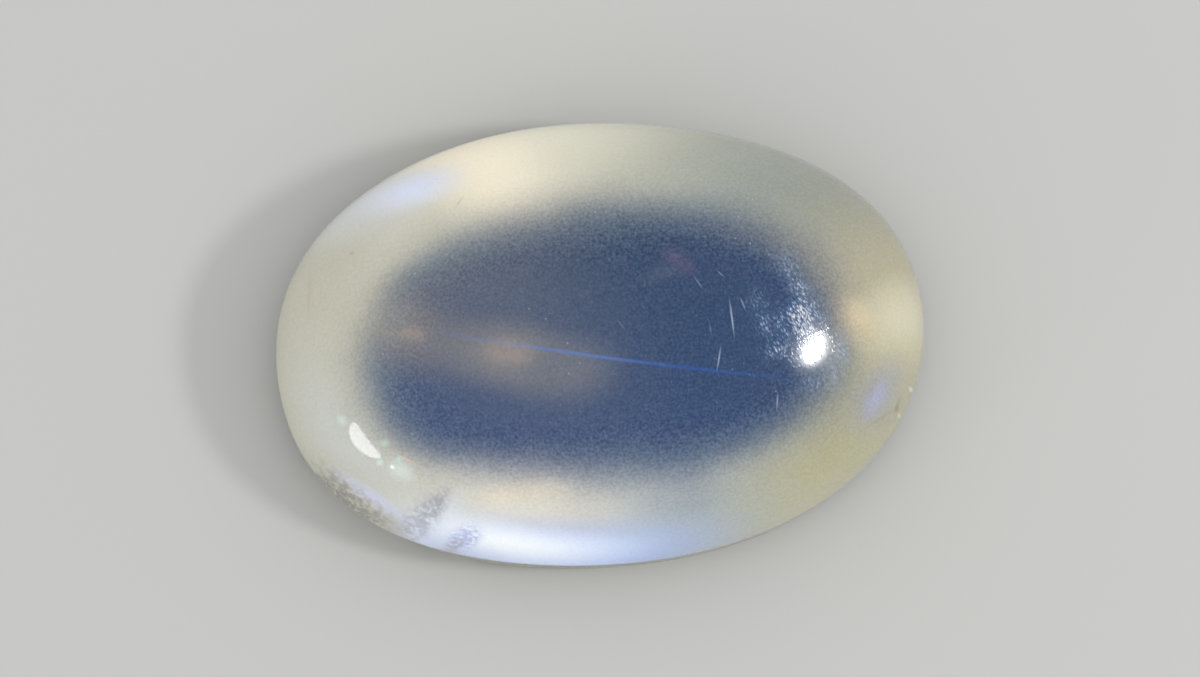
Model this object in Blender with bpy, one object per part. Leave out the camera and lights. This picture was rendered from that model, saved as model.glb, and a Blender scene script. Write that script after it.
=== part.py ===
"""A cut and polished moonstone: an oval cabochon, one piece of feldspar.

The stone lies on its ground flat base with its dome up. The origin is the middle of the base,
+X runs along the long axis of the oval, and lengths are in metres.
"""

import math

import bmesh
import bpy
from mathutils import Matrix, Vector

MM = 0.001

# Driving dimensions of the cut stone
LENGTH = 22.35 * MM
WIDTH = 15.35 * MM
HEIGHT = 6.7 * MM

# Heights of the three zones of its side, from the base up
BEVEL_HEIGHT = 0.75 * MM
GIRDLE_HEIGHT = 0.95 * MM

# The base is smaller than the oval, and the girdle leans out slightly from foot to top
BASE_SHARE = 0.905
GIRDLE_FOOT_SHARE = 0.996

# The dome is a cap of a stretched sphere, cut off where its side has turned this far from level
CAP_ANGLE = math.radians(82)
APEX_OFFSET = Vector((0.30 * MM, 0.20 * MM))

# The oval was cut by eye, so it swells a little between its ends and its sides.
# Each row is waves round the oval, their height as a share of the radius, and the first crest.
SWELLS = (
    (3, 0.0057, math.radians(-4)),
    (4, 0.0130, math.radians(39)),
    (5, 0.0020, math.radians(16)),
    (6, 0.0023, math.radians(-21)),
)

SECTORS = 96
APEX_SECTORS = 12
BEVEL_STEPS = 4
DOME_STEPS = 23

# Chips struck from the side. Each row is the direction round the oval, the height of the
# middle of the scoop, its radius, and how far it reaches in from the edge of the oval.
CHIPS = (
    # A nick in the rim on the long side
    (math.radians(93), 1.72 * MM, 0.62 * MM, 0.10 * MM),
    # Two small flakes by the blunt end
    (math.radians(341), 1.45 * MM, 0.55 * MM, 0.13 * MM),
    (math.radians(335), 1.25 * MM, 0.65 * MM, 0.15 * MM),
    # The foot of the girdle is frayed for a quarter of the way round
    (math.radians(208), 0.55 * MM, 0.95 * MM, 0.30 * MM),
    (math.radians(214), 0.30 * MM, 1.50 * MM, 0.52 * MM),
    (math.radians(220), 0.62 * MM, 1.10 * MM, 0.36 * MM),
    (math.radians(226), 0.25 * MM, 1.80 * MM, 0.62 * MM),
    (math.radians(233), 0.55 * MM, 1.05 * MM, 0.33 * MM),
    (math.radians(241), 0.40 * MM, 1.30 * MM, 0.42 * MM),
)


def swell(direction):
    """Share of the plain ellipse's radius at this direction."""
    return 1 + sum(
        height * math.cos(waves * (direction - crest)) for waves, height, crest in SWELLS
    )


def oval_point(direction):
    """A point of the oval's edge, before it is centred."""
    share = swell(direction)
    return Vector(
        (
            LENGTH / 2 * share * math.cos(direction),
            WIDTH / 2 * share * math.sin(direction),
        )
    )


def oval_middle():
    """Middle of the box round the oval, which the swells move off the ellipse's centre."""
    points = [oval_point(math.tau * step / 720) for step in range(720)]
    low = Vector((min(p.x for p in points), min(p.y for p in points)))
    high = Vector((max(p.x for p in points), max(p.y for p in points)))
    return (low + high) / 2


MIDDLE = oval_middle()


def edge_at(direction, share=1.0):
    """A point at this share of the way from the middle of the stone to its edge."""
    return (oval_point(direction) - MIDDLE) * share


def side_profile():
    """Rings of the stone from its base edge to just under the apex, as (share, height)."""
    rings = []
    for step in range(BEVEL_STEPS):
        turn = math.pi / 2 * step / BEVEL_STEPS
        reach = GIRDLE_FOOT_SHARE - BASE_SHARE
        rings.append((BASE_SHARE + reach * math.sin(turn), BEVEL_HEIGHT * (1 - math.cos(turn))))
    rings.append((GIRDLE_FOOT_SHARE, BEVEL_HEIGHT))
    foot = BEVEL_HEIGHT + GIRDLE_HEIGHT
    rise = HEIGHT - foot
    for step in range(DOME_STEPS):
        turn = CAP_ANGLE * (1 - step / DOME_STEPS)
        share = math.sin(turn) / math.sin(CAP_ANGLE)
        climb = (math.cos(turn) - math.cos(CAP_ANGLE)) / (1 - math.cos(CAP_ANGLE))
        rings.append((share, foot + rise * climb))
    return rings


def ring_centre(height):
    """The rings drift towards the apex, which stands a little off the middle."""
    foot = BEVEL_HEIGHT + GIRDLE_HEIGHT
    climb = max(0.0, (height - foot) / (HEIGHT - foot))
    return APEX_OFFSET * climb


def sectors_of(rings_to_apex):
    """Points in a ring. They halve towards the apex, so that the facets stay alike in size."""
    doublings = int(math.log2(rings_to_apex))
    return min(SECTORS, APEX_SECTORS * 2**doublings)


def join_rings(shape, lower, upper):
    """Fills the band between two rings, of which the upper may have half as many points."""
    skip = len(lower) // len(upper)
    for sector, here in enumerate(upper):
        there = upper[(sector + 1) % len(upper)]
        feet = [lower[(sector * skip + step) % len(lower)] for step in range(skip + 1)]
        if skip == 1:
            shape.faces.new((feet[0], feet[1], there, here))
        else:
            shape.faces.new((feet[0], feet[1], here))
            shape.faces.new((feet[1], there, here))
            shape.faces.new((feet[1], feet[2], there))


def stone_body():
    """The whole stone before it was chipped: rings joined from the base edge to the apex."""
    shape = bmesh.new()
    profile = side_profile()
    rings = []
    for number, (share, height) in enumerate(profile):
        sectors = sectors_of(len(profile) - number)
        ring = []
        for sector in range(sectors):
            flat = ring_centre(height) + edge_at(math.tau * sector / sectors, share)
            ring.append(shape.verts.new((flat.x, flat.y, height)))
        rings.append(ring)
    for lower, upper in zip(rings, rings[1:]):
        join_rings(shape, lower, upper)
    shape.faces.new(reversed(rings[0]))
    apex = shape.verts.new((APEX_OFFSET.x, APEX_OFFSET.y, HEIGHT))
    for here, there in zip(rings[-1], rings[-1][1:] + rings[-1][:1]):
        shape.faces.new((here, there, apex))
    bmesh.ops.recalc_face_normals(shape, faces=shape.faces)
    mesh = bpy.data.meshes.new("moonstone")
    shape.to_mesh(mesh)
    shape.free()
    stone = bpy.data.objects.new("moonstone", mesh)
    bpy.context.scene.collection.objects.link(stone)
    return stone


def chip_scoop(number, direction, height, radius, reach):
    """A coarse ball standing just outside the girdle, which takes an uneven shallow scoop."""
    shape = bmesh.new()
    edge = edge_at(direction)
    outward = Vector((edge.x / LENGTH**2, edge.y / WIDTH**2)).normalized()
    centre = edge + outward * (radius - reach)
    place = Matrix.Translation((*centre, height))
    spin = Matrix.Rotation(number, 4, Vector((1, 2, 3)))
    bmesh.ops.create_icosphere(shape, subdivisions=2, radius=radius, matrix=place @ spin)
    mesh = bpy.data.meshes.new(f"chip_scoop_{number}")
    shape.to_mesh(mesh)
    shape.free()
    scoop = bpy.data.objects.new(mesh.name, mesh)
    bpy.context.scene.collection.objects.link(scoop)
    scoop.display_type = "WIRE"
    scoop.hide_render = True
    return scoop


def strike_chips(stone):
    """Cuts each chip out of the side with its own Boolean."""
    for number, chip in enumerate(CHIPS, start=1):
        scoop = chip_scoop(number, *chip)
        cut = stone.modifiers.new(f"chip_{number}", "BOOLEAN")
        cut.operation = "DIFFERENCE"
        cut.solver = "EXACT"
        cut.object = scoop


def moonstone_material():
    """Milky feldspar with a high polish."""
    material = bpy.data.materials.new("moonstone")
    material.use_nodes = True
    surface = material.node_tree.nodes["Principled BSDF"]
    surface.inputs["Base Color"].default_value = (0.58, 0.58, 0.52, 1.0)
    surface.inputs["Roughness"].default_value = 0.08
    surface.inputs["Metallic"].default_value = 0.0
    return material


def main():
    for old in list(bpy.data.objects):
        bpy.data.objects.remove(old)
    stone = stone_body()
    stone.data.materials.append(moonstone_material())
    stone.data.shade_smooth()
    stone.data.set_sharp_from_angle(angle=math.radians(35))
    strike_chips(stone)


main()
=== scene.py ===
import math

import bpy
import numpy as np
from mathutils import Matrix, Vector


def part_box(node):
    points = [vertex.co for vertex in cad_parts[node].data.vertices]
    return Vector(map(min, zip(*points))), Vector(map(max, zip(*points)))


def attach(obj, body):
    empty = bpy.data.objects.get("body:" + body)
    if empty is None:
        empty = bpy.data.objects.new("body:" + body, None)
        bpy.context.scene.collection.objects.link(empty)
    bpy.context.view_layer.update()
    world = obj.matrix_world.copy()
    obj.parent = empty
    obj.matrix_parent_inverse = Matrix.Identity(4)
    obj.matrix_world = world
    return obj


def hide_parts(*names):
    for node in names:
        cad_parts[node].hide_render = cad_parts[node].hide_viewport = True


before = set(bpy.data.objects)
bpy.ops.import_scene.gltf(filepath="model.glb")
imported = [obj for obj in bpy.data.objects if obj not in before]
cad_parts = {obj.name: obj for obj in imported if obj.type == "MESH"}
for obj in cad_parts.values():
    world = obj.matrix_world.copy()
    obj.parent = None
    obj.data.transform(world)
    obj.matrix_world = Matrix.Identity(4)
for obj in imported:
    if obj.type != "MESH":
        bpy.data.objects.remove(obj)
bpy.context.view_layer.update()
print("frame loaded")

mm = 0.001

# The stone's form. Lengths are in millimetres, and its length, width and height are the frame's own.
stoneForm = {
    "bevelHeight": 0.75,
    "girdleHeight": 0.95,
    "baseShare": 0.905,  # how far out the flat base reaches, as a share of the oval
    "girdleFootShare": 0.996,
    "capAngle": 82,  # degrees that the dome's side has turned by where it meets the girdle
    "apex": (0.30, 0.20),
    "ovalRatio": 22.35 / 15.35,
    "swells": ((3, 0.0057, -4), (4, 0.0130, 39), (5, 0.0020, 16), (6, 0.0023, -21)),
    "boxSamples": 3600,  # points of the oval that its box is found from
    "wobble": 0.010,  # mm that the hand-cut dome rises and falls by, in waves of these lengths
    "wobbleWaves": (9.0, 7.0, 5.5, 4.5), "wobbleSeed": 3,
    "firstShare": 0.02,  # where the rings of the base begin
    "sectors": 600,
    "baseRings": 12,
    "bevelRings": 12,
    "girdleRings": 16,
    "domeRings": 112,
}

# Chips: direction in degrees, then height, radius and reach from the edge in millimetres.
chips = (
    (93, 1.72, 0.62, 0.10),
    (341, 1.45, 0.55, 0.13),
    (335, 1.25, 0.65, 0.15),
    (208, 0.55, 0.95, 0.30),
    (214, 0.30, 1.50, 0.52),
    (220, 0.62, 1.10, 0.36),
    (226, 0.25, 1.80, 0.62),
    (233, 0.55, 1.05, 0.33),
    (241, 0.40, 1.30, 0.42),
)
# How rough a chip's face is, as a share of its radius, in waves of these lengths in mm. A point that
# was moved by more than the skin's mm shows bare fracture.
chipFace = {"rough": 0.035, "waves": (0.9, 0.6, 0.42, 0.3, 0.23), "skin": 0.04}


def ovalEdge(direction):
    # Points of the oval, in mm. An ellipse whose radius swells with a few slow waves, then centred and
    # sized so that its box is the frame's box.
    form = stoneForm
    low, high = (np.array(corner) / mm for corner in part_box("moonstone"))

    def raw(angle):
        share = 1 + sum(
            height * np.cos(waves * (angle - math.radians(crest)))
            for waves, height, crest in form["swells"]
        )
        return np.stack([form["ovalRatio"] * share * np.cos(angle), share * np.sin(angle)], -1)

    whole = raw(np.linspace(0, math.tau, form["boxSamples"]))
    lowRaw, highRaw = whole.min(0), whole.max(0)
    return (raw(direction) - (lowRaw + highRaw) / 2) * (high - low)[:2] / (highRaw - lowRaw)


def sideProfile():
    # The profile from the middle of the base to the apex, as share of the oval and height in mm: a flat,
    # a quarter curve, a nearly upright girdle, and a cap of a circle.
    form = stoneForm
    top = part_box("moonstone")[1].z / mm
    foot = form["bevelHeight"] + form["girdleHeight"]
    cap = math.radians(form["capAngle"])
    flat = np.linspace(form["firstShare"], form["baseShare"], form["baseRings"], endpoint=False)
    turn = np.linspace(0, math.pi / 2, form["bevelRings"], endpoint=False)
    reach = form["girdleFootShare"] - form["baseShare"]
    rise = np.linspace(0, 1, form["girdleRings"], endpoint=False)
    fall = cap * (1 - np.arange(form["domeRings"]) / form["domeRings"])
    climb = (np.cos(fall) - math.cos(cap)) / (1 - math.cos(cap))
    share = np.concatenate([
        flat,
        form["baseShare"] + reach * np.sin(turn),
        form["girdleFootShare"] + (1 - form["girdleFootShare"]) * rise,
        np.sin(fall) / math.sin(cap),
    ])
    height = np.concatenate([
        flat * 0,
        form["bevelHeight"] * (1 - np.cos(turn)),
        form["bevelHeight"] + form["girdleHeight"] * rise,
        foot + (top - foot) * climb,
    ])
    drift = np.clip((height - foot) / (top - foot), 0, 1)
    return share, height, drift, top


def ripple(points, waves, seed):
    # A smooth unevenness between -1 and 1: a mean of sine waves that run in random directions.
    random = np.random.default_rng(seed)
    total = 0
    for wave in waves:
        heading = random.normal(size=3)
        heading /= np.linalg.norm(heading)
        total = total + np.sin(points @ heading * math.tau / wave + random.uniform(0, math.tau))
    return total / len(waves)


def strikeChips(points):
    # Each chip is a ball that stands just outside the edge. A point inside the ball moves straight in,
    # against the edge's outward direction, until it meets the ball's far side, which is roughened.
    chipped = np.zeros(points.shape[:2])
    for number, (direction, height, radius, reach) in enumerate(chips):
        angle = np.array([math.radians(direction)])
        edge = ovalEdge(angle)[0]
        lean = edge / np.array([stoneForm["ovalRatio"] ** 2, 1])
        lean = np.append(lean / np.linalg.norm(lean), 0)
        centre = np.append(edge, height) + lean * (radius - reach)
        away = points - centre
        rough = radius * (1 + chipFace["rough"] * ripple(points, chipFace["waves"], number))
        along = away @ lean
        depth = np.sqrt(np.maximum(rough**2 - (away**2).sum(-1) + along**2, 0))
        push = np.maximum(along + depth, 0) * ((away**2).sum(-1) < rough**2) * (depth > 0)
        points = points - push[..., None] * lean
        chipped = np.maximum(chipped, np.clip(push / chipFace["skin"], 0, 1))
    return points, chipped


def makeStone():
    # A grid of rings, from the middle of the base to the apex, by directions round the oval. A point
    # is the oval's edge times the ring's share, moved towards the apex, at the ring's height.
    form = stoneForm
    share, height, drift, top = sideProfile()
    angle = np.linspace(0, math.tau, form["sectors"], endpoint=False)
    edge = ovalEdge(angle)
    flat = edge[None] * share[:, None, None] + np.array(form["apex"]) * drift[:, None, None]
    points = np.concatenate([flat, np.broadcast_to(height[:, None, None], flat.shape[:2] + (1,))], -1)

    # The dome was cut by hand, so it is a little uneven.
    wobble = form["wobble"] * ripple(points, form["wobbleWaves"], form["wobbleSeed"])
    points[..., 2] += wobble * drift[:, None]
    points, chipped = strikeChips(points)

    rings, sectors = points.shape[:2]
    ring, sector = np.meshgrid(np.arange(rings - 1), np.arange(sectors), indexing="ij")
    after = (sector + 1) % sectors
    quads = np.stack([
        ring * sectors + sector, ring * sectors + after,
        (ring + 1) * sectors + after, (ring + 1) * sectors + sector,
    ], -1).reshape(-1, 4)
    around = np.arange(sectors)
    nextOne = (around + 1) % sectors
    basePole, apexPole = rings * sectors, rings * sectors + 1
    lastRing = (rings - 1) * sectors
    fans = [np.stack([nextOne, around, np.full(sectors, basePole)], -1),
            np.stack([lastRing + around, lastRing + nextOne, np.full(sectors, apexPole)], -1)]
    poles = np.array([[0, 0, 0], [*form["apex"], top]])
    vertices = np.concatenate([points.reshape(-1, 3), poles]) * mm

    mesh = bpy.data.meshes.new("moonstone_cabochon")
    faces = quads.tolist() + fans[0].tolist() + fans[1].tolist()
    mesh.from_pydata(vertices.tolist(), [], faces)
    mesh.update()
    mark = mesh.attributes.new("chipped", "FLOAT", "POINT")
    mark.data.foreach_set("value", np.append(chipped.ravel(), [0, 0]).astype(np.float32))

    mesh.polygons.foreach_set("use_smooth", np.ones(len(mesh.polygons), dtype=bool))
    mesh.validate()
    piece = bpy.data.objects.new("moonstone_cabochon", mesh)
    bpy.context.scene.collection.objects.link(piece)
    return piece


stone = makeStone()
print("stone made:", len(stone.data.polygons), "faces")


def linear(hexColour):
    # An sRGB hex colour as linear light, which Blender's sockets take.
    parts = [int(hexColour[start:start + 2], 16) / 255 for start in (1, 3, 5)]
    return (*[p / 12.92 if p <= 0.04045 else ((p + 0.055) / 1.055) ** 2.4 for p in parts], 1.0)


def addNode(tree, kind, sockets=(), **settings):
    # Adds one node with its settings, and fills each input with a value or a link.
    node = tree.nodes.new(kind)
    for name, value in settings.items():
        setattr(node, name, value)
    for name, value in dict(sockets).items():
        if isinstance(value, bpy.types.NodeSocket):
            tree.links.new(value, node.inputs[name])
        else:
            node.inputs[name].default_value = value
    return node


# Directions round the oval are read off an ellipse of this half size, in mm. They jump where they
# come full circle, and are read these degrees on, so that the jump falls between two tints.
compass = {"half": (11.0, 7.6), "readOn": 20}
# What tints the milky body, with a few rows of painted light on it. Each row: how it lies, its middle,
# its half size, degrees turned, colour.
# An "oval" row is an ellipse in x and y, in mm. A "round" row follows the rim: its middle and half
# size are degrees round the oval, and the share of the way from the middle of the stone to its edge.
bodyTintsAndPaintedLight = {
    "greyUpRight": ("round", (23.26, 0.66), (85.84, 2.02), 0, "#778280"),
    "oliveRight": ("round", (1.62, 1.03), (58.98, 5.03), 0, "#a19b84"),
    "creamTop": ("round", (105.64, 1.20), (48.61, 0.76), 0, "#f2efda"),
    "warmTop": ("oval", (-5.59, 9.96), (3.09, 10.27), 27, "#fff1d8"),
    "coolUpLeft": ("round", (137.71, 1.18), (18.18, 0.52), 0, "#cdd2d6"),
    # A painted streak of lamp light on the upper left rim
    "paintedLightUpLeft": ("oval", (-6.03, 5.41), (2.54, 1.16), 10, "#d9dff1"),
    "creamRight": ("oval", (9.87, -0.65), (1.91, 2.67), -45, "#ddd5c3"),
    # A painted orange glow of lamp light on the right
    "paintedLightOrangeRight": ("oval", (8.39, -0.54), (1.40, 1.11), -54, "#e0cca3"),
    "yellowLowRight": ("round", (-36.27, 0.90), (72.74, 0.28), 0, "#a29f81"),
    "greyLowRight": ("round", (-89.00, 0.87), (42.07, 0.36), 0, "#919fab"),
    "greyByLilac": ("oval", (8.93, -2.93), (2.25, 1.12), 50, "#939598"),
    "lilacRight": ("oval", (8.90, -3.03), (1.05, 0.44), 53, "#999bae"),
    "warmBottom": ("oval", (-3.22, -5.41), (6.30, 2.28), -12, "#e4dfce"),
    "warmBelow": ("oval", (-3.20, -5.23), (1.90, 0.50), -3, "#f4e8cf"),
    # These three rows are a painted band of lamp light along the lower edge, pale, bluish and white
    "paintedLightPaleBottom": ("round", (-126.03, 1.01), (6.64, 0.27), 0, "#d9e0e8"),
    "paintedLightBlueBottom": ("round", (-101.47, 0.99), (41.56, 0.21), 0, "#adc1f1"),
    "paintedLightWhiteBottom": ("round", (-111.74, 0.95), (33.16, 0.10), 0, "#f1f7ff"),
    "pinkLowLeft": ("round", (-155.00, 0.91), (45.00, 0.14), 0, "#c4c6c0"),
    "lilacLowLeft": ("oval", (-8.20, -4.80), (2.60, 0.33), -39, "#cbcfe0"),
}
# What tints the sheen, in the same rows
sheenTints = {
    "deepRight": ("oval", (-5.38, 7.26), (9.82, 42.30), 54, "#0b3154"),
    "greyLeft": ("oval", (-9.07, 7.36), (20.26, 7.25), -54, "#585e6b"),
    "orangeLeft": ("oval", (-9.05, 1.67), (6.65, 2.07), -30, "#847d77"),
    "orangeMiddle": ("oval", (-3.33, -0.94), (3.13, 1.59), -17, "#787676"),
    "orangeTail": ("oval", (-1.58, -1.57), (2.50, 1.58), -2, "#5c616d"),
    "redWisp": ("oval", (2.48, 1.72), (1.05, 0.54), -43, "#3e3f60"),
    "redTail": ("oval", (1.90, 1.35), (1.20, 0.45), 12, "#30415f"),
}
# The blue sheen, painted light in the colour: a rounded box that fades out into a grey halo
sheen = {
    "middle": (-0.09, -0.71), "half": (7.22, 3.82), "turned": -0.6,  # mm and degrees
    "square": 2.48,  # 2 is an ellipse, and more is boxier
    "inside": 1.03, "outside": 2.44,  # mm that its edge fades over
    "fineEdge": 0.3, "slowEdge": 0.6, "slowSize": 1.8,  # mm that grains and slow waves move its edge by
    "haloInside": 0.03, "haloOutside": 1.53, "halo": "#808c8e",
    "colour": "#00366a",
}
# The blue line across the sheen, an arc through three points, in mm. It darkens to the right.
blueLine = {
    "from": (-5.6, 0.11), "by": (-1.0, -1.14), "to": (5.6, -2.34), "half": 0.095,
    "leftEnd": (-6.4, -1.8), "rightEnd": (2.5, 7.0), "strength": 0.60,
    "colour": "#4c70b4", "rightColour": "#00479a", "darkens": (-0.8, 2.6),
}
# Milky grains in the stone: a fine unevenness of its colour, and a few bright specks. Sizes in mm.
# The real grains are finer, and are drawn as coarse as they need to be to show.
grains = {
    "size": 0.10, "contrast": (0.12, 0.135, 0.16),
    "deep": 0.5, "deepFades": (-2.0, -0.5),  # how strong they are inside the sheen, and mm from its edge
    "rim": 0.65, "rimFades": (0.4, 2.0),  # and out towards the rim
    "apart": 0.7, "brightSize": 0.05, "brightCore": 0.3, "brightShare": 0.25, "bright": "#b9c4d4",
}
# Where flaws in the stone show as soft blotches: a row as for a tint, then the size of a blotch in mm
# and its strength.
blotches = {
    "orangeSpotLeft": ("oval", (-6.65, 0.25), (1.15, 0.42), -12, "#96887c", 0.8, 0.5),
    "orangeSpot": ("oval", (-3.35, -0.78), (1.25, 0.60), -14, "#90827a", 0.8, 0.52),
    "frayedBand": ("round", (-144, 1.035), (17, 0.078), 0, "#97978f", 0.30, 0.85),
    "frayedDark": ("round", (-145, 1.04), (13, 0.045), 0, "#7f7f7b", 0.17, 0.6),
    "frayedPatch": ("oval", (-6.60, -5.60), (1.50, 0.75), 38, "#a2a3b2", 0.28, 0.55),
    "patchDark": ("oval", (-6.20, -5.35), (1.0, 0.45), 42, "#8f8f9c", 0.16, 0.5),
    "blueCluster": ("oval", (-5.28, -6.40), (0.85, 0.48), 5, "#9fafdd", 0.16, 0.7),
    "brownCluster": ("oval", (-5.62, -6.55), (0.45, 0.25), 10, "#a5a199", 0.14, 0.5),
    "greyRight": ("oval", (7.55, -2.0), (0.6, 1.2), -15, "#8b908e", 0.22, 0.3),
    "cloudRight": ("oval", (9.4, -3.5), (0.9, 0.35), 40, "#96948a", 0.18, 0.5),
}
# Small clear marks and painted glints, each an ellipse: middle and half size in mm, degrees turned,
# colour, strength
marksAndGlints = {
    "orangeHair": ((-7.12, -3.76), (0.92, 0.055), -33, "#dcb39c", 0.6),
    # The glint rows are painted glints, and a painted glow, beside the side lamp's reflection
    "glintA": ((-9.05, -2.22), (0.34, 0.22), -50, "#d6ecdf", 0.45),
    "glintB": ((-7.52, -3.98), (0.13, 0.09), -35, "#f8fffc", 0.9),
    "glintC": ((-7.71, -3.20), (0.24, 0.18), 0, "#b9dccd", 0.5),
    "glintD": ((-7.28, -3.77), (0.17, 0.13), 0, "#a4dbe0", 0.6),
    "glintE": ((-7.91, -3.77), (0.20, 0.16), 0, "#dcf5e0", 0.45),
    "glintHaze": ((-7.25, -4.12), (0.75, 0.45), -35, "#dff2e8", 0.4),
    "scratchA": ((4.08, -0.30), (0.85, 0.048), 92, "#a3b4cb", 0.7),
    "scratchB": ((3.52, -1.62), (0.56, 0.043), 76, "#9fadc4", 0.65),
    "scratchC": ((5.39, -3.10), (0.42, 0.043), 83, "#9aa8bf", 0.6),
    "scratchD": ((4.50, 0.14), (0.32, 0.050), -73, "#7f90ac", 0.7),
    "scratchE": ((3.07, 0.95), (0.35, 0.040), -61, "#8493ad", 0.5),
    "scratchF": ((3.86, 1.20), (0.26, 0.040), -46, "#7f8fa9", 0.5),
    "scratchG": ((3.32, -0.60), (0.35, 0.040), 95, "#6d7f9d", 0.4),
    "scratchH": ((0.35, -0.25), (0.30, 0.040), -55, "#68768f", 0.5),
    "darkScratch": ((-4.52, 4.61), (0.30, 0.08), 50, "#b7af9c", 0.6),
    "darkDot": ((-8.22, 3.36), (0.12, 0.11), 0, "#a3a394", 0.7),
    "brownCrack": ((-9.75, 2.20), (1.15, 0.10), 83, "#b0a998", 0.45),
    "bruiseA": ((10.29, -2.59), (0.15, 0.12), 0, "#e4e4de", 0.45),
    "bruiseB": ((9.80, -3.45), (0.12, 0.10), 0, "#d9d7cf", 0.4),
    "rimCrack": ((9.05, -3.62), (0.95, 0.075), 30, "#8e8b78", 0.5),
    "rimCrackEnd": ((9.72, -3.15), (0.45, 0.10), 62, "#857c6e", 0.5),
    "rimDot": ((9.61, -1.21), (0.10, 0.07), 0, "#a7a291", 0.7),
    "brownSpeck": ((9.70, -3.26), (0.16, 0.11), 60, "#8d7c6c", 0.8),
}
# Where the polish is worn, and where its scratches are painted as glints of the round lamp: middle and
# half size in mm, degrees turned, and how worn, which is 1 where nothing of the polish is left
wearAndGlints = {
    "aboveGlint": ((6.66, 0.20), (1.90, 0.75), -60, 0.81),
    "byGlint": ((6.45, -0.50), (1.25, 0.80), -68, 1.2825),
    "top": ((6.23, 1.35), (0.95, 0.75), -60, 0.567),
    "leftStrand": ((5.12, -0.35), (1.75, 0.65), -74, 0.621),
    "between": ((5.80, -0.62), (1.20, 0.85), -70, 0.621),
    "lowLeft": ((5.47, -1.43), (0.80, 0.70), 0, 0.756),
    "below": ((6.72, -2.61), (1.05, 0.60), 15, 0.54),
    "right": ((7.79, -1.54), (0.55, 1.10), -10, 0.567),
    "lowRight": ((7.40, -2.29), (0.70, 0.90), 20, 0.54),
}
# Where the bright reflection is soft: middle and half size in mm, and how much, past 1 in its core
glint = {"middle": (6.84, -1.37), "half": (1.7, 2.0), "strength": 2.5}
# The worn polish is full of short scratches, painted as glints of the round lamp: bluish where it is
# worn little, and white where more, next to its reflection.
# Real ones are some hundredths of a mm wide, and are drawn a little wider so that they show.
scuffsAndGlints = {
    "length": 0.16, "width": 0.068, "headings": (-52, -76),  # mm and degrees
    "uneven": 0.2, "unevenSize": 0.5, "depth": 0.0012,  # mm
    # The haze is a painted bluish glow round the round lamp's reflection
    "haze": "#5f7fa6", "hazeShare": 0.18,
    # Painted glints: the colour of the faint scratches and of the bright ones
    "faint": "#7fa5c8", "bright": "#eef1f5", "brightens": (0.35, 1.0),  # from this worn to that
    "tinge": "#a9a0b4", "tinged": (0.75, 0.95),  # the scratches whose random number is this high
    "patchSize": 0.55, "patches": (0.30, 0.55, 0.65, 1.0),  # mm, and how much worn between patches
    "shows": (-0.25, 0.15),  # how much more worn than its random number a scratch needs
    "edge": (0.08, 0.56),  # share of its cell where a scratch fades out
    "levels": (0.12, 0.75),  # how bright the faintest and the brightest scratch is
    "fading": (0.0, 0.9, 0.20, 1.0),  # from this worn to that, they fade in from this share to that
}
# The body, and how it is finished: polished above the rim, ground below it, and broken in the chips
finish = {
    "body": "#bdbbab",
    "mottle": (0.34, 0.66),  # how soft the blotches are
    # The ground grey is the stone's own, painted darker so that it also stands for the shade on the side
    "ground": "#8b8c83", "groundLight": "#a6a79d", "groundSpread": (0.75, 1.25),
    "fracture": "#c6c7bd", "fractureDark": "#9fa096", "fractureSpread": (0.35, 0.65),
    "fractureShare": 0.85,
    "polishedRough": 0.05, "scuffedRough": 0.14, "groundRough": 0.55, "fractureRough": 0.30,
    "rimWaver": 0.10, "rimBelow": 0.08, "rimAbove": 0.05,  # mm that the polish gives way over
    "sideGrind": (0.5, 0.5, 14.0),  # waves per mm, along the side and up it
    "grindLength": 1.6, "grindWidth": 0.06, "grindHeading": 24,  # mm and degrees, on the base
    "baseFades": (0.02, 0.12),  # mm above the base over which its marks give way to the side's
    "pitSize": 0.16, "cloudSize": 0.45,  # mm
    "pitDepth": 0.015, "grindDepth": 0.012, "cloudDepth": 0.06,  # mm
    "ior": 1.52,
    # The light spreads under the skin, a little further in red than in blue
    "skinWeight": 0.5, "skinReach": (1.0, 0.9, 0.8), "skinDepth": 0.6,  # mm
}


def circleThrough(a, b, c):
    # Middle and radius of the circle through three points.
    (ax, ay), (bx, by), (cx, cy) = a, b, c
    d = 2 * (ax * (by - cy) + bx * (cy - ay) + cx * (ay - by))
    squares = [x * x + y * y for x, y in (a, b, c)]
    x = (squares[0] * (by - cy) + squares[1] * (cy - ay) + squares[2] * (ay - by)) / d
    y = (squares[0] * (cx - bx) + squares[1] * (ax - cx) + squares[2] * (bx - ax)) / d
    return (x, y), math.hypot(ax - x, ay - y)


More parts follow.
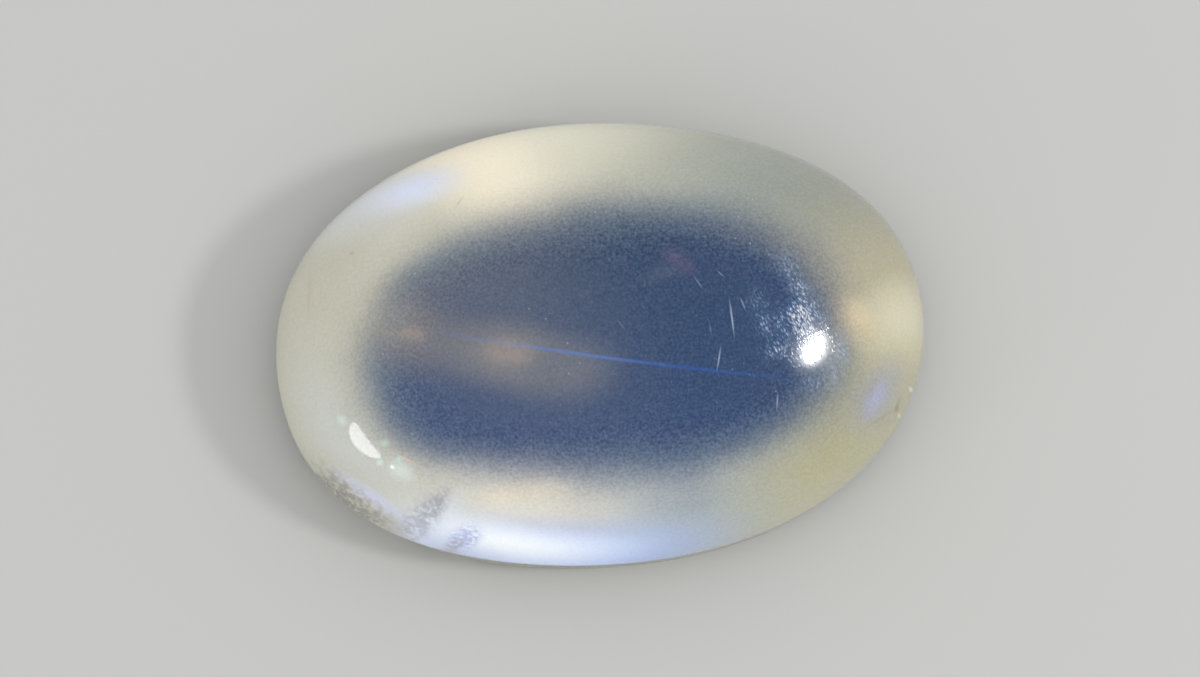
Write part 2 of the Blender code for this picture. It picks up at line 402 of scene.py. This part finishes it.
def adulariaPolished():
    # Adularia moonstone, cut and polished. The eye sees a milky body with soft tints, a blue sheen
    # deep in it that fades out in fine grains, and sharp reflections that worn polish breaks up. The
    # sheen, some bright bands on the rim and the glints are painted light in the colour.
    material = bpy.data.materials.new("adulariaMoonstonePolished")
    material.use_nodes = True
    tree = material.node_tree
    surface = tree.nodes["Principled BSDF"]

    def calc(operation, *values):
        return addNode(tree, "ShaderNodeMath", dict(enumerate(values)), operation=operation).outputs[0]

    def vector(operation, *values):
        node = addNode(tree, "ShaderNodeVectorMath", dict(enumerate(values)), operation=operation)
        return node.outputs["Value" if operation in ("LENGTH", "DISTANCE") else "Vector"]

    def ramp(value, low, high, start=0.0, end=1.0):
        return addNode(tree, "ShaderNodeMapRange", {
            "Value": value, "From Min": low, "From Max": high, "To Min": start, "To Max": end,
        }, interpolation_type="SMOOTHSTEP").outputs[0]

    def fitTo(place, middle, half, turned=0.0):
        # The place as seen from an ellipse: its middle is 0, and its edge is 1 away.
        return addNode(tree, "ShaderNodeMapping", {
            "Vector": place, "Location": (*middle, 0), "Rotation": (0, 0, math.radians(turned)),
            "Scale": (*half, 1000),
        }, vector_type="TEXTURE").outputs[0]

    def bell(place, middle, half, turned=0.0, strength=1.0):
        return ramp(vector("LENGTH", fitTo(place, middle, half, turned)), 0.0, 1.0, strength, 0.0)

    def noise(place, size, detail=2.0, rough=0.5):
        return addNode(tree, "ShaderNodeTexNoise", {
            "Vector": place, "Scale": 1 / size, "Detail": detail, "Roughness": rough}).outputs[0]

    def streaks(place, length, width, heading):
        # Noise drawn out along a heading.
        drawn = fitTo(place, (0, 0), (length, width), heading)
        return noise(drawn, 1.0, 2.0, 0.6)

    def paint(share, under, over):
        return addNode(tree, "ShaderNodeMix", {0: share, 6: under, 7: over}, data_type="RGBA").outputs[2]

    # Places: in mm, and round the oval
    place = addNode(tree, "ShaderNodeTexCoord").outputs["Object"]
    inMm = vector("MULTIPLY", place, (1 / mm,) * 3)
    high = addNode(tree, "ShaderNodeSeparateXYZ", {0: inMm}).outputs[2]
    flat = vector("MULTIPLY", inMm, (1, 1, 0))
    inOval = fitTo(flat, (0, 0), compass["half"])
    turnedOn = addNode(tree, "ShaderNodeMapping", {
        "Vector": inOval, "Rotation": (0, 0, math.radians(compass["readOn"]))}).outputs[0]
    x, y = addNode(tree, "ShaderNodeSeparateXYZ", {0: turnedOn}).outputs[:2]
    degrees = calc("MULTIPLY_ADD", calc("ARCTAN2", y, x), math.degrees(1), -compass["readOn"])
    around = addNode(tree, "ShaderNodeCombineXYZ", {
        0: degrees, 1: vector("LENGTH", inOval)}).outputs[0]
    lies = {"oval": flat, "round": around}

    # The milky body and its tints, some of them painted light, round a greyer halo of the painted sheen
    x, y = addNode(tree, "ShaderNodeSeparateXYZ", {
        0: vector("ABSOLUTE", fitTo(flat, sheen["middle"], sheen["half"], sheen["turned"]))}).outputs[:2]
    total = calc("ADD", calc("POWER", x, sheen["square"]), calc("POWER", y, sheen["square"]))
    reach = calc("MAXIMUM", calc("POWER", total, 1 / sheen["square"]), 0.001)
    fromMiddle = vector("DISTANCE", flat, (*sheen["middle"], 0))
    # How far outside the sheen's edge, in mm: the way from its middle, less the edge's own
    outside = calc("SUBTRACT", fromMiddle, calc("DIVIDE", fromMiddle, reach))

    colour = linear(finish["body"])
    halo = ramp(outside, -sheen["haloInside"], sheen["haloOutside"], 1.0, 0.0)
    colour = paint(halo, colour, linear(sheen["halo"]))
    for lie, middle, half, turned, tint in bodyTintsAndPaintedLight.values():
        colour = paint(bell(lies[lie], middle, half, turned), colour, linear(tint))

    # The painted sheen over it, whose edge is uneven and grainy
    blue = linear(sheen["colour"])
    for lie, middle, half, turned, tint in sheenTints.values():
        blue = paint(bell(lies[lie], middle, half, turned), blue, linear(tint))
    fine = noise(inMm, grains["size"], 1.0)
    slow = noise(inMm, sheen["slowSize"], 2.0)
    uneven = calc("MULTIPLY_ADD", calc("SUBTRACT", fine, 0.5), sheen["fineEdge"], outside)
    uneven = calc("MULTIPLY_ADD", calc("SUBTRACT", slow, 0.5), sheen["slowEdge"], uneven)
    colour = paint(ramp(uneven, -sheen["inside"], sheen["outside"], 1.0, 0.0), colour, blue)

    # Grains lighten or darken the colour a little, less so in the depth of the sheen
    share = ramp(outside, *grains["deepFades"], grains["deep"], 1.0)
    share = calc("MULTIPLY", share, ramp(outside, *grains["rimFades"], 1.0, grains["rim"]))
    haze = calc("MULTIPLY", calc("SUBTRACT", fine, 0.5), share)
    hazes = addNode(tree, "ShaderNodeCombineXYZ", {0: haze, 1: haze, 2: haze}).outputs[0]
    colour = vector("MULTIPLY_ADD", hazes, grains["contrast"], colour)
    dots = addNode(tree, "ShaderNodeTexVoronoi", {
        "Vector": inMm, "Scale": 1 / grains["apart"]}, feature="F1")
    nearDot = calc("MULTIPLY", dots.outputs["Distance"], grains["apart"])
    bright = ramp(nearDot, grains["brightCore"] * grains["brightSize"], grains["brightSize"],
                  grains["brightShare"], 0.0)
    colour = paint(bright, colour, linear(grains["bright"]))

    # The blue line
    middle, radius = circleThrough(blueLine["from"], blueLine["by"], blueLine["to"])
    off = calc("ABSOLUTE", calc("SUBTRACT", vector("DISTANCE", flat, (*middle, 0)), radius))
    onLine = ramp(off, 0.0, blueLine["half"], blueLine["strength"], 0.0)
    x = addNode(tree, "ShaderNodeSeparateXYZ", {0: flat}).outputs[0]
    onLine = calc("MULTIPLY", onLine, ramp(x, *blueLine["leftEnd"], 0.0, 1.0))
    onLine = calc("MULTIPLY", onLine, ramp(x, *blueLine["rightEnd"], 1.0, 0.0))
    lineColour = paint(ramp(x, *blueLine["darkens"]), linear(blueLine["colour"]),
                       linear(blueLine["rightColour"]))
    colour = paint(onLine, colour, lineColour)

    # Flaws that show through as blotches, which fill the core of their place and thin out towards its
    # edge, then the single marks and the painted glints
    for lie, middle, half, turned, tint, size, strength in blotches.values():
        mottle = ramp(noise(inMm, size, 3.0, 0.6), *finish["mottle"])
        inside = bell(lies[lie], middle, half, turned, 2.0 * strength)
        share = calc("MINIMUM", calc("MULTIPLY", mottle, inside), strength)
        colour = paint(share, colour, linear(tint))
    for middle, half, turned, tint, strength in marksAndGlints.values():
        colour = paint(bell(flat, middle, half, turned, strength), colour, linear(tint))

    # Worn polish: a painted bluish glow, and in it short scratches painted as glints of the round lamp,
    # white nearest its reflection. Each scratch shows where the polish is worn more than its own random
    # number, and has a brightness of its own.
    wornAndGlinting = 0.0
    for middle, half, turned, strength in wearAndGlints.values():
        wornAndGlinting = calc("MAXIMUM", wornAndGlinting, bell(flat, middle, half, turned, strength))
    patchy = ramp(noise(inMm, scuffsAndGlints["patchSize"], 2.0), *scuffsAndGlints["patches"])
    wornAndGlinting = calc("MINIMUM", calc("MULTIPLY", wornAndGlinting, patchy), 1.0)
    colour = paint(calc("MULTIPLY", ramp(wornAndGlinting, 0.0, 1.0), scuffsAndGlints["hazeShare"]), colour,
                   linear(scuffsAndGlints["haze"]))
    waves = addNode(tree, "ShaderNodeTexNoise", {
        "Vector": inMm, "Scale": 1 / scuffsAndGlints["unevenSize"]}).outputs["Color"]
    waved = vector("MULTIPLY_ADD", waves, (scuffsAndGlints["uneven"], scuffsAndGlints["uneven"], 0), flat)
    scratched = 0.0
    for heading in scuffsAndGlints["headings"]:
        cells = addNode(tree, "ShaderNodeTexVoronoi", {
            "Vector": fitTo(waved, (heading, 0), (scuffsAndGlints["length"], scuffsAndGlints["width"]), heading),
            "Scale": 1.0}, feature="F1", voronoi_dimensions="2D")
        chance, level, hue = addNode(tree, "ShaderNodeSeparateXYZ", {
            0: cells.outputs["Color"]}).outputs[:3]
        lit = calc("MULTIPLY", ramp(cells.outputs["Distance"], *scuffsAndGlints["edge"], 1.0, 0.0),
                   ramp(calc("SUBTRACT", wornAndGlinting, chance), *scuffsAndGlints["shows"]))
        scratched = calc("MAXIMUM", scratched, lit)
        lit = calc("MULTIPLY", lit, ramp(level, 0.0, 1.0, *scuffsAndGlints["levels"]))
        lit = calc("MULTIPLY", lit, ramp(wornAndGlinting, *scuffsAndGlints["fading"]))
        scratch = paint(ramp(hue, *scuffsAndGlints["tinged"]), linear(scuffsAndGlints["faint"]), linear(scuffsAndGlints["tinge"]))
        scratch = paint(ramp(wornAndGlinting, *scuffsAndGlints["brightens"]), scratch, linear(scuffsAndGlints["bright"]))
        colour = paint(lit, colour, scratch)

    # Below the rim the stone is ground, in a grey painted darker than the body that also stands for the
    # shade on its side, and the chips are bare fracture
    rim = stoneForm["bevelHeight"] + stoneForm["girdleHeight"]
    ground = ramp(calc("MULTIPLY_ADD", fine, finish["rimWaver"], high),
                  rim - finish["rimBelow"], rim + finish["rimAbove"], 1.0, 0.0)
    # Grinding marks: level lines round the side, and straight ones across the base
    onSide = noise(vector("MULTIPLY", inMm, finish["sideGrind"]), 1.0, 3.0, 0.6)
    onBase = streaks(flat, finish["grindLength"], finish["grindWidth"], finish["grindHeading"])
    onBase = calc("SUBTRACT", onBase, onSide)
    grind = calc("MULTIPLY_ADD", onBase, ramp(high, *finish["baseFades"], 1.0, 0.0), onSide)
    pitted = noise(inMm, finish["pitSize"], 3.0, 0.65)
    groundColour = paint(ramp(calc("ADD", grind, pitted), *finish["groundSpread"]),
                         linear(finish["ground"]), linear(finish["groundLight"]))
    colour = paint(ground, colour, groundColour)
    chipped = addNode(tree, "ShaderNodeAttribute", attribute_name="chipped").outputs["Fac"]
    cloudy = noise(inMm, finish["cloudSize"], 4.0, 0.6)
    fracture = paint(ramp(cloudy, *finish["fractureSpread"]), linear(finish["fractureDark"]),
                     linear(finish["fracture"]))
    colour = paint(calc("MULTIPLY", chipped, finish["fractureShare"]), colour, fracture)
    tree.links.new(colour, surface.inputs["Base Color"])

    soft = calc("MAXIMUM", wornAndGlinting, bell(flat, glint["middle"], glint["half"], 0.0, glint["strength"]))
    rough = ramp(soft, 0.0, 1.0, finish["polishedRough"], finish["scuffedRough"])
    rough = calc("ADD", calc("MULTIPLY", ground, finish["groundRough"]), rough)
    chippedRough = calc("SUBTRACT", finish["fractureRough"], rough)
    rough = calc("MULTIPLY_ADD", chippedRough, chipped, rough)
    tree.links.new(rough, surface.inputs["Roughness"])

    # Relief, in mm: scratches in the worn polish, grinding marks and pits below the rim, and a
    # shell-like unevenness on the chips
    relief = calc("MULTIPLY", scratched, scuffsAndGlints["depth"])
    below = calc("ADD", calc("MULTIPLY", pitted, finish["pitDepth"]),
                 calc("MULTIPLY", grind, finish["grindDepth"]))
    relief = calc("MULTIPLY_ADD", below, ground, relief)
    relief = calc("MULTIPLY_ADD", calc("MULTIPLY", cloudy, finish["cloudDepth"]), chipped, relief)
    bump = addNode(tree, "ShaderNodeBump", {"Height": relief, "Distance": mm, "Strength": 1.0})
    tree.links.new(bump.outputs[0], surface.inputs["Normal"])

    surface.inputs["IOR"].default_value = finish["ior"]
    surface.inputs["Subsurface Weight"].default_value = finish["skinWeight"]
    surface.inputs["Subsurface Radius"].default_value = finish["skinReach"]
    surface.inputs["Subsurface Scale"].default_value = finish["skinDepth"] * mm
    return material


stone.data.materials.append(adulariaPolished())
print("stone polished:", len(stone.active_material.node_tree.nodes), "nodes")
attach(stone, "root")
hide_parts("moonstone")

studio = {
    "floorSize": 4,  # metres
    "floorColour": "#b0b0ae", "floorRough": 0.7, "floorGloss": 0.2,
    # How bright the surrounding light is, from the level of the floor up. The heights are sines.
    "surround": {"level": 0.52, "middle": 1.22, "overhead": 1.0, "rises": (-0.05, 0.55),
                 "falls": (0.55, 0.95)},
    "aim": (-0.03, 0.13, 1.7),  # mm
    "distance": 203.5,  # mm
    "elevation": 80,
    "azimuth": -23.46,
    "roll": 5.46,  # degrees that the long axis rises by in the picture
    "lens": 180, "sensor": 36, "nearest": 10,  # mm
}

# The two lamps that the polish mirrors. Lengths are in mm, spins in degrees, and over is the spot that
# mirrors the lamp. The flat half of a half round lamp is flatShare as deep as its round half.
lamps = {
    "roundLamp": {
        "shape": "ELLIPSE", "size": (79, 43), "spin": -1, "radiance": 75, "distance": 400,
        "towards": (0.757, -0.142, 0.638), "over": (6.84, -1.37, 5.45), "flatShare": None,
    },
    "sideLamp": {
        "shape": "RECTANGLE", "size": (132, 62), "spin": 173, "radiance": 7.3, "distance": 400,
        "towards": (-0.862, -0.424, 0.279), "over": (-8.27, -3.05, 4.09), "flatShare": 0.25,
    },
}


def makeFloor():
    # A plain matt board, pale grey. It takes the stone's soft shadow and mirrors next to nothing.
    bpy.ops.mesh.primitive_plane_add(size=studio["floorSize"], location=(0, 0, 0))
    floor = bpy.context.object
    floor.name = "floor"
    material = bpy.data.materials.new("paleFloor")
    material.use_nodes = True
    surface = material.node_tree.nodes["Principled BSDF"]
    surface.inputs["Base Color"].default_value = linear(studio["floorColour"])
    surface.inputs["Roughness"].default_value = studio["floorRough"]
    surface.inputs["Specular IOR Level"].default_value = studio["floorGloss"]
    floor.data.materials.append(material)


def makeCamera():
    # A long lens that looks down on the stone, and is turned so that the long axis rises to the right.
    azimuth, elevation = math.radians(studio["azimuth"]), math.radians(studio["elevation"])
    roll = math.radians(studio["roll"])
    back = Vector((
        math.sin(azimuth) * math.cos(elevation),
        -math.cos(azimuth) * math.cos(elevation),
        math.sin(elevation),
    ))
    right = Vector((math.sin(roll), math.cos(roll), 0)).cross(back).normalized()
    up = back.cross(right)
    camera = bpy.data.objects.new("camera", bpy.data.cameras.new("camera"))
    camera.data.lens = studio["lens"]
    camera.data.sensor_width = studio["sensor"]
    camera.data.clip_start = studio["nearest"] * mm
    bpy.context.scene.collection.objects.link(camera)
    turned = Matrix((right, up, back)).transposed().to_4x4()
    where = (Vector(studio["aim"]) + back * studio["distance"]) * mm
    camera.matrix_world = Matrix.Translation(where) @ turned
    bpy.context.scene.camera = camera


def makeLamp(name, setting):
    # A soft box that faces the stone. Its light is even, and its power is its radiance times its area
    # times pi.
    lamp = bpy.data.lights.new(name, "AREA")
    lamp.shape = setting["shape"]
    lamp.size, lamp.size_y = (side * mm for side in setting["size"])
    area = lamp.size * lamp.size_y * (math.pi / 4 if lamp.shape == "ELLIPSE" else 1)
    lamp.energy = setting["radiance"] * area * math.pi
    piece = bpy.data.objects.new(name, lamp)
    bpy.context.scene.collection.objects.link(piece)
    way = Vector(setting["towards"]).normalized()
    turn = way.to_track_quat("Z", "Y").to_matrix().to_4x4()
    turn = turn @ Matrix.Rotation(math.radians(setting["spin"]), 4, "Z")
    place = (Vector(setting["over"]) + way * setting["distance"]) * mm
    piece.matrix_world = Matrix.Translation(place) @ turn
    piece.visible_camera = False
    if setting["flatShare"]:
        makeHalfRound(lamp, setting["flatShare"])


def makeHalfRound(lamp, flatShare):
    # Two half ellipses back to back, one of them nearly flat. The box's own coordinates are moved so
    # that both meet at 0, the flat side is stretched to be as deep as the other, and the lamp shines
    # where the distance from 0 is less than 1.
    lamp.use_nodes = True
    tree = lamp.node_tree
    boxPlace = addNode(tree, "ShaderNodeNewGeometry").outputs["Parametric"]
    fitted = addNode(tree, "ShaderNodeVectorMath", {
        0: boxPlace, 1: (2, 1 + flatShare, 0), 2: (-1, -flatShare, 0)}, operation="MULTIPLY_ADD")
    stretched = addNode(tree, "ShaderNodeVectorMath", {
        0: fitted.outputs[0], 1: (1, -1 / flatShare, 0)}, operation="MULTIPLY")
    either = addNode(tree, "ShaderNodeVectorMath", {
        0: fitted.outputs[0], 1: stretched.outputs[0]}, operation="MAXIMUM")
    away = addNode(tree, "ShaderNodeVectorMath", {0: either.outputs[0]}, operation="LENGTH")
    lit = addNode(tree, "ShaderNodeMath", {0: away.outputs["Value"], 1: 1.0}, operation="LESS_THAN")
    tree.links.new(lit.outputs[0], tree.nodes["Emission"].inputs["Strength"])


def makeSurround():
    # A soft white surround, as dim as the floor where it meets the floor. So the polish mirrors no edge.
    setting = studio["surround"]
    world = bpy.data.worlds.new("studio")
    bpy.context.scene.world = world
    world.use_nodes = True
    tree = world.node_tree
    way = addNode(tree, "ShaderNodeTexCoord").outputs["Generated"]
    up = addNode(tree, "ShaderNodeSeparateXYZ", {0: way}).outputs[2]
    rise = addNode(tree, "ShaderNodeMapRange", {
        "Value": up, "From Min": setting["rises"][0], "From Max": setting["rises"][1],
        "To Min": setting["level"], "To Max": setting["middle"]}, interpolation_type="SMOOTHSTEP")
    fall = addNode(tree, "ShaderNodeMapRange", {
        "Value": up, "From Min": setting["falls"][0], "From Max": setting["falls"][1],
        "To Min": 0.0, "To Max": setting["middle"] - setting["overhead"],
    }, interpolation_type="SMOOTHSTEP")
    strength = addNode(tree, "ShaderNodeMath", {
        0: rise.outputs[0], 1: fall.outputs[0]}, operation="SUBTRACT").outputs[0]
    surround = tree.nodes["Background"]
    surround.inputs["Color"].default_value = (1, 1, 1, 1)
    tree.links.new(strength, surround.inputs["Strength"])


makeFloor()
makeCamera()
for name, setting in lamps.items():
    makeLamp(name, setting)
makeSurround()
bpy.context.scene.view_settings.view_transform = "Standard"
print("studio made")
